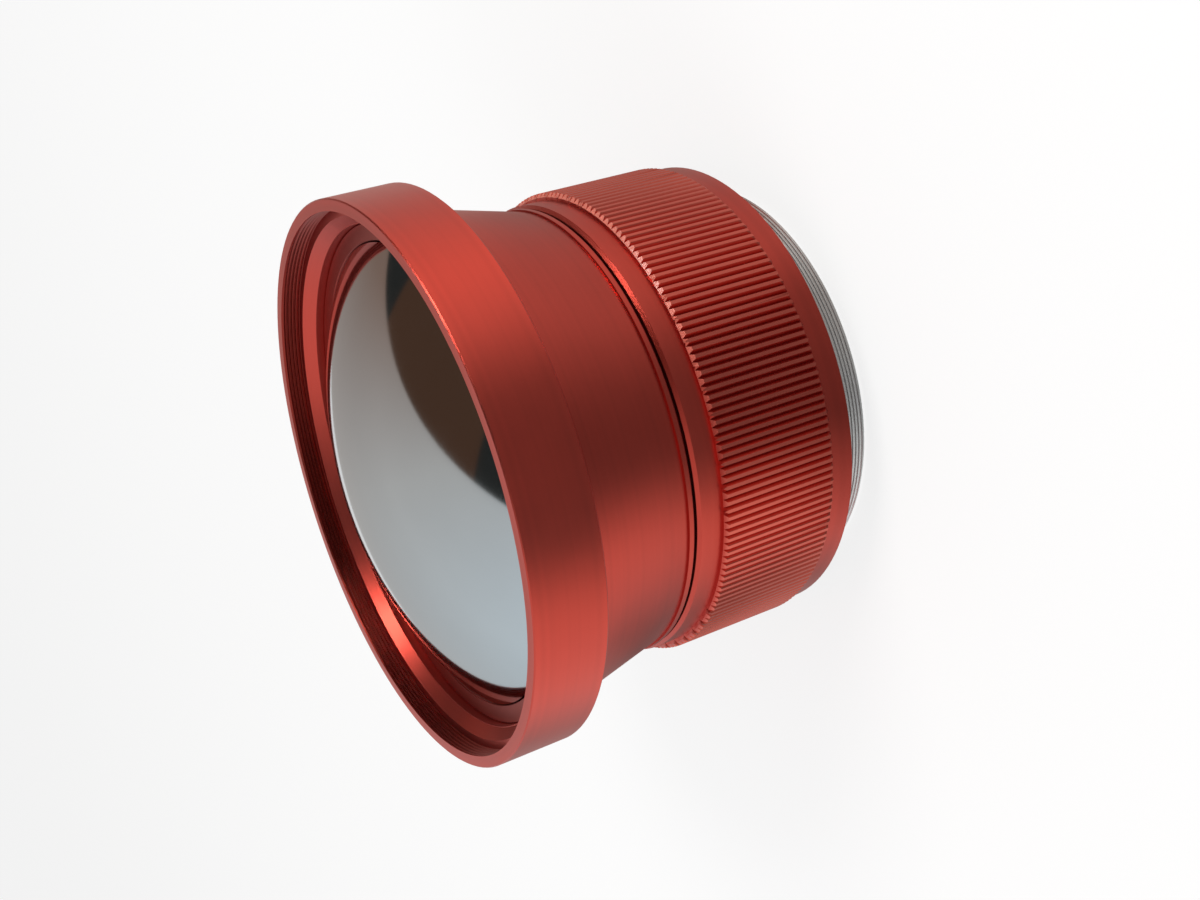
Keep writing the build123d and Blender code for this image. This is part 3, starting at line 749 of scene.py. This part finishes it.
def turned_piece(name, profile, steps):
    """A solid of revolution: a ring of points goes from place to place of the profile, pole to pole."""
    deselect_all()
    radius, height = profile[0]
    bpy.ops.mesh.primitive_circle_add(vertices=steps, radius=radius, location=(0, 0, height))
    piece = bpy.context.object
    piece.name = name
    bpy.ops.object.transform_apply(location=True, rotation=True, scale=True)
    bpy.ops.object.mode_set(mode="EDIT")
    bpy.ops.mesh.select_all(action="SELECT")
    for next_radius, next_height in profile[1:]:
        bpy.ops.mesh.extrude_region_move(TRANSFORM_OT_translate={"value": (0, 0, next_height - height)})
        growth = next_radius / radius
        bpy.ops.transform.resize(value=(growth, growth, 1), center_override=(0, 0, next_height))
        radius, height = next_radius, next_height
    bpy.ops.mesh.merge(type="CENTER")
    first_radius, first_height = profile[0]
    select_points(
        piece,
        lambda point: abs(point.z - first_height) < TOUCH and point.xy.length < 2 * first_radius,
    )
    bpy.ops.mesh.merge(type="CENTER")
    bpy.ops.mesh.select_all(action="SELECT")
    bpy.ops.mesh.normals_make_consistent(inside=False)
    bpy.ops.object.mode_set(mode="OBJECT")
    return piece


class OBJECTIVE_OT_front_element(bpy.types.Operator):
    """Turns the polished front element: a bulging front, a narrow flank, a rim and a hollow rear."""

    bl_idname = "objective.front_element"
    bl_label = "Add Front Element"

    def execute(self, context):
        sizes = context.scene.objective_element
        low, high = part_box("front_lens")
        front_turn = asin(sizes.front_edge / sizes.front_curve)
        profile = []
        for ring in range(1, CURVE_RINGS + 1):
            turn = front_turn * ring / CURVE_RINGS
            profile.append((sizes.front_curve * sin(turn), high.z - sizes.front_curve * (1 - cos(turn))))
        profile += [
            (sizes.front_edge, low.z + sizes.neck_height),
            (sizes.shoulder_radius, low.z + sizes.shoulder_height),
            (high.x, low.z + sizes.rim_height),
            (high.x, low.z),
        ]
        rear_turn = asin(sizes.rear_edge / sizes.rear_curve)
        rear_centre = low.z - sizes.rear_curve * cos(rear_turn)
        for ring in range(CURVE_RINGS, 0, -1):
            turn = rear_turn * ring / CURVE_RINGS
            profile.append((sizes.rear_curve * sin(turn), rear_centre + sizes.rear_curve * cos(turn)))
        element = turned_piece("front_element", profile, sizes.steps)
        finish_piece(element, bpy.data.materials["polished_silicon"], "barrel")
        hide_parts("front_lens")
        return {"FINISHED"}


def clear_of_screw(point):
    """True away from the stop screw's hole."""
    return point.y < 0 or abs(point.x) > SCREW_SIDE


def on_crest(point, radius):
    """True on a crest of this radius that is away from the stop screw's hole."""
    return clear_of_screw(point) and point.xy.length > radius - NEAR


class OBJECTIVE_OT_knurled_ring(bpy.types.Operator):
    """Copies the focus ring and cuts its teeth to broad, flat crests of the same height."""

    bl_idname = "objective.knurled_ring"
    bl_label = "Add Knurled Ring"

    def execute(self, context):
        sizes = context.scene.objective_knurl
        deselect_all()
        ring = bpy.data.objects.new("knurled_ring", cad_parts["focus_ring"].data.copy())
        context.scene.collection.objects.link(ring)
        ring.select_set(True)
        context.view_layer.objects.active = ring
        bpy.ops.object.mode_set(mode="EDIT")
        bpy.ops.mesh.select_all(action="SELECT")
        bpy.ops.mesh.remove_doubles(threshold=TOUCH)
        bpy.ops.mesh.customdata_custom_splitnormals_clear()
        select_points(ring, lambda point: on_crest(point, KNURL_CREST_RADIUS))
        bpy.ops.mesh.bevel(offset=sizes.crest_cut, offset_type="OFFSET", segments=1, affect="EDGES")
        mesh = bmesh.from_edit_mesh(ring.data)
        cut_radius = max(vertex.co.xy.length for vertex in mesh.verts if clear_of_screw(vertex.co))
        select_points(ring, lambda point: on_crest(point, cut_radius))
        growth = KNURL_CREST_RADIUS / cut_radius
        bpy.ops.transform.resize(value=(growth, growth, 1), center_override=(0, 0, 0))
        for side in (-1, 1):
            select_points(
                ring,
                lambda point: on_crest(point, KNURL_CREST_RADIUS)
                and (point.z - KNURL_MIDDLE) * side > KNURL_LENGTH / 4,
            )
            bpy.ops.transform.translate(value=(0, 0, -side * sizes.end_slope))
        bpy.ops.object.mode_set(mode="OBJECT")
        finish_piece(ring, bpy.data.materials["red_knurled"], "focus")
        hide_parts("focus_ring")
        return {"FINISHED"}


def camera_and_glossy(tree):
    """1 for camera, glossy and transmission rays, 0 for the rest."""
    path = tree.nodes.new("ShaderNodeLightPath")
    seen = math_node(tree, "MAXIMUM", path.outputs["Is Camera Ray"], path.outputs["Is Glossy Ray"])
    return math_node(tree, "MAXIMUM", seen, path.outputs["Is Transmission Ray"])


def only_mirrored(card):
    """Lets mirror rays alone see a card, so that it shapes reflections and casts no shadow."""
    card.visible_camera = False
    card.visible_diffuse = False
    card.visible_shadow = False
    card.visible_transmission = False


def emission_material(name):
    """A material that only glows; returns it with its tree and the glow."""
    material = bpy.data.materials.new(name)
    material.use_nodes = True
    tree = material.node_tree
    tree.nodes.remove(tree.nodes["Principled BSDF"])
    glow = add_node(tree, "ShaderNodeEmission", {"Strength": 1.0})
    link(tree, glow.outputs[0], tree.nodes["Material Output"].inputs[0])
    return material, tree, glow


def card_colour(angle, brightness):
    """The card's colour at an angle: warm on the side of image top, plain on the side of image bottom."""
    tint = CARD_WARM if angle < CARD_TINT_TURN else CARD_PLAIN
    return (*shade(tint, brightness, CARD_MOST), 1.0)


def card_ring(tree, share, stops):
    """Colour round one ring of the low card."""
    ramp = tree.nodes.new("ShaderNodeValToRGB")
    link(tree, share, ramp.inputs[0])
    points = ramp.color_ramp.elements
    points[0].position, points[0].color = stops[0][0] / 180, card_colour(*stops[0])
    points[1].position, points[1].color = stops[-1][0] / 180, card_colour(*stops[-1])
    for angle, brightness in stops[1:-1]:
        points.new(angle / 180).color = card_colour(angle, brightness)
    return ramp.outputs[0]


def low_card_material():
    """Brightness by the direction round the axis and by the distance from it."""
    material, tree, glow = emission_material("low_card")
    place = tree.nodes.new("ShaderNodeTexCoord").outputs["Object"]
    radius, _ = radius_and_height(tree, place)
    parts = add_node(tree, "ShaderNodeSeparateXYZ")
    link(tree, place, parts.inputs[0])
    towards = math_node(tree, "MULTIPLY", parts.outputs[1], -1.0)
    turn = math_node(tree, "ARCTAN2", parts.outputs[0], towards)
    share = math_node(tree, "ADD", math_node(tree, "DIVIDE", turn, -2 * pi), 0.5)
    inner_radius, inner_stops = LOW_CARD[0]
    colour = card_ring(tree, share, inner_stops)
    for outer_radius, outer_stops in LOW_CARD[1:]:
        outwards = mask(tree, radius, inner_radius, outer_radius)
        colour = mixed_colour(tree, outwards, colour, card_ring(tree, share, outer_stops))
        inner_radius = outer_radius
    link(tree, colour, glow.inputs["Color"])
    return material


def overhead_strip(name, u_low, u_high, colour):
    """One length of the dark panel overhead."""
    deselect_all()
    side = Vector((PANEL_DIRECTION.y, -PANEL_DIRECTION.x, 0.0)).normalized()
    along = PANEL_DIRECTION.normalized()
    middle = along * (u_low + u_high) / 2 + side * sum(PANEL_V) / 2 + Vector((0, 0, 1))
    bpy.ops.mesh.primitive_plane_add(size=1.0, location=middle * PANEL_HEIGHT + Vector((0, 0, RIM_Z)))
    strip = bpy.context.object
    strip.name = name
    strip.scale = ((u_high - u_low) * PANEL_HEIGHT, (PANEL_V[1] - PANEL_V[0]) * PANEL_HEIGHT, 1.0)
    strip.rotation_euler.z = along.to_2d().angle_signed(Vector((1.0, 0.0)))
    bpy.ops.object.transform_apply(location=True, rotation=True, scale=True)
    material, _, glow = emission_material(name)
    glow.inputs["Color"].default_value = (*colour, 1.0)
    strip.data.materials.append(material)
    only_mirrored(strip)


def soft_lamp(name, place, size, energy, colour):
    """A round lamp that lights the object and shows in no reflection."""
    deselect_all()
    bpy.ops.object.light_add(type="AREA", location=place)
    lamp = bpy.context.object
    lamp.name = name
    lamp.rotation_euler = (Vector(LAMP_TARGET) - Vector(place)).to_track_quat("-Z", "Y").to_euler()
    lamp.data.shape = "DISK"
    lamp.data.size = size
    lamp.data.energy = energy
    lamp.data.color = colour
    lamp.visible_glossy = False


def glint_card():
    """A small bright window, high on the side of image top, for the highlights along the edges."""
    deselect_all()
    place = GLINT_DIRECTION.normalized() * GLINT_DISTANCE + Vector((0, 0, RIM_Z))
    turn = (-GLINT_DIRECTION).to_track_quat("-Z", "Y").to_euler()
    bpy.ops.mesh.primitive_circle_add(
        vertices=32, radius=GLINT_RADIUS, fill_type="NGON", location=place, rotation=turn
    )
    glint = bpy.context.object
    glint.name = "glint_card"
    bpy.ops.object.transform_apply(location=True, rotation=True, scale=True)
    material, _, glow = emission_material("glint")
    glow.inputs["Strength"].default_value = GLINT_STRENGTH
    glint.data.materials.append(material)
    only_mirrored(glint)


def pale_floor(size):
    """The floor: matte in the light, and nearly white to the camera and to mirrors."""
    bpy.ops.mesh.primitive_plane_add(size=size, location=(0, 0, 0))
    floor = bpy.context.object
    floor.name = "floor"
    material = bpy.data.materials.new("pale_floor")
    material.use_nodes = True
    tree = material.node_tree
    tree.nodes.remove(tree.nodes["Principled BSDF"])
    matte = add_node(tree, "ShaderNodeBsdfDiffuse", {"Color": (FLOOR_GREY, FLOOR_GREY, FLOOR_GREY, 1.0)})
    glow = add_node(tree, "ShaderNodeEmission", {"Color": (1.0, 1.0, 1.0, 1.0), "Strength": 1.0})
    mix = add_node(tree, "ShaderNodeMixShader")
    share = math_node(tree, "MULTIPLY", camera_and_glossy(tree), FLOOR_WHITE_SHARE)
    link(tree, share, mix.inputs[0])
    link(tree, matte.outputs[0], mix.inputs[1])
    link(tree, glow.outputs[0], mix.inputs[2])
    link(tree, mix.outputs[0], tree.nodes["Material Output"].inputs[0])
    floor.data.materials.append(material)


def room_light(scene, strength):
    """The world: even light, and for mirror rays a room that goes from cool to warm along X."""
    world = bpy.data.worlds.new("studio")
    scene.world = world
    world.use_nodes = True
    tree = world.node_tree
    back = tree.nodes["Background"]
    link(tree, scaled(tree, camera_and_glossy(tree), strength, 1.0), back.inputs["Strength"])
    direction = tree.nodes.new("ShaderNodeTexCoord").outputs["Generated"]
    parts = add_node(tree, "ShaderNodeSeparateXYZ")
    link(tree, direction, parts.inputs[0])
    ramp = tree.nodes.new("ShaderNodeValToRGB")
    link(tree, mask(tree, parts.outputs[0], *ROOM_SIDES), ramp.inputs[0])
    stops = ramp.color_ramp.elements
    stops[0].position, stops[0].color = 0.0, (*ROOM_LOW_X, 1.0)
    stops[1].position, stops[1].color = 1.0, (*ROOM_HIGH_X, 1.0)
    stops.new(ROOM_MIDDLE_PLACE).color = (*ROOM_MIDDLE, 1.0)
    low, high = HORIZON_HEIGHTS
    horizon = add_node(
        tree, "ShaderNodeMapRange", {"From Min": low, "From Max": high, "To Min": HORIZON_DIM}
    )
    link(tree, parts.outputs[2], horizon.inputs[0])
    dimmed = add_node(tree, "ShaderNodeVectorMath", operation="SCALE")
    link(tree, ramp.outputs[0], dimmed.inputs[0])
    link(tree, horizon.outputs[0], dimmed.inputs["Scale"])
    path = tree.nodes.new("ShaderNodeLightPath")
    plain = add_node(tree, "ShaderNodeMix", data_type="RGBA")
    plain.inputs["A"].default_value = (1.0, 1.0, 1.0, 1.0)
    link(tree, path.outputs["Is Glossy Ray"], plain.inputs["Factor"])
    link(tree, dimmed.outputs[0], plain.inputs["B"])
    link(tree, plain.outputs["Result"], back.inputs["Color"])


def low_card(radius, height):
    """The card low over the floor that the turned surfaces mirror."""
    deselect_all()
    bpy.ops.mesh.primitive_circle_add(
        vertices=64, radius=radius, fill_type="NGON", location=(0, 0, height)
    )
    card = bpy.context.object
    card.name = "low_card"
    bpy.ops.object.transform_apply(location=True, rotation=True, scale=True)
    card.data.materials.append(low_card_material())
    only_mirrored(card)


class OBJECTIVE_OT_studio(bpy.types.Operator):
    """Sets up the floor, the light and the reflection cards."""

    bl_idname = "objective.studio"
    bl_label = "Set Up Studio"

    def execute(self, context):
        studio = context.scene.objective_studio
        deselect_all()
        pale_floor(studio.floor_size)
        room_light(context.scene, studio.room)
        low_card(studio.card_radius, studio.card_height)
        glint_card()
        overhead_strip("panel_black_near", PANEL_U[0], PANEL_U[1], PANEL_BLACK)
        overhead_strip("panel_brown", PANEL_U[1], PANEL_U[2], PANEL_BROWN)
        overhead_strip("panel_black_far", PANEL_U[2], PANEL_U[3], PANEL_BLACK)
        soft_lamp("key", *KEY_LAMP)
        soft_lamp("fill", *FILL_LAMP)
        return {"FINISHED"}


class OBJECTIVE_OT_camera(bpy.types.Operator):
    """Places the camera at the photograph's view."""

    bl_idname = "objective.camera"
    bl_label = "Place Camera"

    def execute(self, context):
        deselect_all()
        bpy.ops.object.camera_add(location=(0, 0, 0))
        camera = bpy.context.object
        camera.name = "camera"
        turn = Matrix((CAMERA_RIGHT, CAMERA_UP, CAMERA_BACK)).transposed().to_4x4()
        camera.matrix_world = Matrix.Translation(CAMERA_PLACE) @ turn
        camera.data.sensor_width = CAMERA_SENSOR
        camera.data.lens = CAMERA_LENS
        camera.data.clip_start, camera.data.clip_end = CAMERA_CLIP
        context.scene.camera = camera
        return {"FINISHED"}


class OBJECTIVE_PT_panel(bpy.types.Panel):
    """Lists the objective's operators and settings."""

    bl_label = "Objective Lens"
    bl_idname = "OBJECTIVE_PT_panel"
    bl_space_type = "VIEW_3D"
    bl_region_type = "UI"
    bl_category = "Objective"

    def draw(self, context):
        for operator in OPERATORS:
            self.layout.operator(operator.bl_idname)
        for settings in (
            context.scene.objective_finish,
            context.scene.objective_element,
            context.scene.objective_knurl,
            context.scene.objective_threads,
            context.scene.objective_studio,
        ):
            for name in settings.bl_rna.properties.keys():
                if name not in ("rna_type", "name"):
                    self.layout.prop(settings, name)


OPERATORS = (
    OBJECTIVE_OT_finishes,
    OBJECTIVE_OT_front_element,
    OBJECTIVE_OT_knurled_ring,
    OBJECTIVE_OT_filter_thread,
    OBJECTIVE_OT_mount_thread,
    OBJECTIVE_OT_studio,
    OBJECTIVE_OT_camera,
)
SETTINGS = (ThreadSettings, ElementSettings, KnurlSettings, FinishSettings, StudioSettings)


def register():
    for kind in (*SETTINGS, *OPERATORS, OBJECTIVE_PT_panel):
        bpy.utils.register_class(kind)
    bpy.types.Scene.objective_threads = bpy.props.PointerProperty(type=ThreadSettings)
    bpy.types.Scene.objective_element = bpy.props.PointerProperty(type=ElementSettings)
    bpy.types.Scene.objective_knurl = bpy.props.PointerProperty(type=KnurlSettings)
    bpy.types.Scene.objective_finish = bpy.props.PointerProperty(type=FinishSettings)
    bpy.types.Scene.objective_studio = bpy.props.PointerProperty(type=StudioSettings)


def unregister():
    del bpy.types.Scene.objective_studio
    del bpy.types.Scene.objective_finish
    del bpy.types.Scene.objective_knurl
    del bpy.types.Scene.objective_element
    del bpy.types.Scene.objective_threads
    for kind in reversed((*SETTINGS, *OPERATORS, OBJECTIVE_PT_panel)):
        bpy.utils.unregister_class(kind)


def main():
    register()
    bpy.context.scene.view_settings.view_transform = "Standard"
    bpy.ops.objective.finishes()
    bpy.ops.objective.front_element()
    bpy.ops.objective.knurled_ring()
    bpy.ops.objective.filter_thread()
    bpy.ops.objective.mount_thread()
    bpy.ops.objective.studio()
    bpy.ops.objective.camera()


if __name__ == "__main__":
    main()
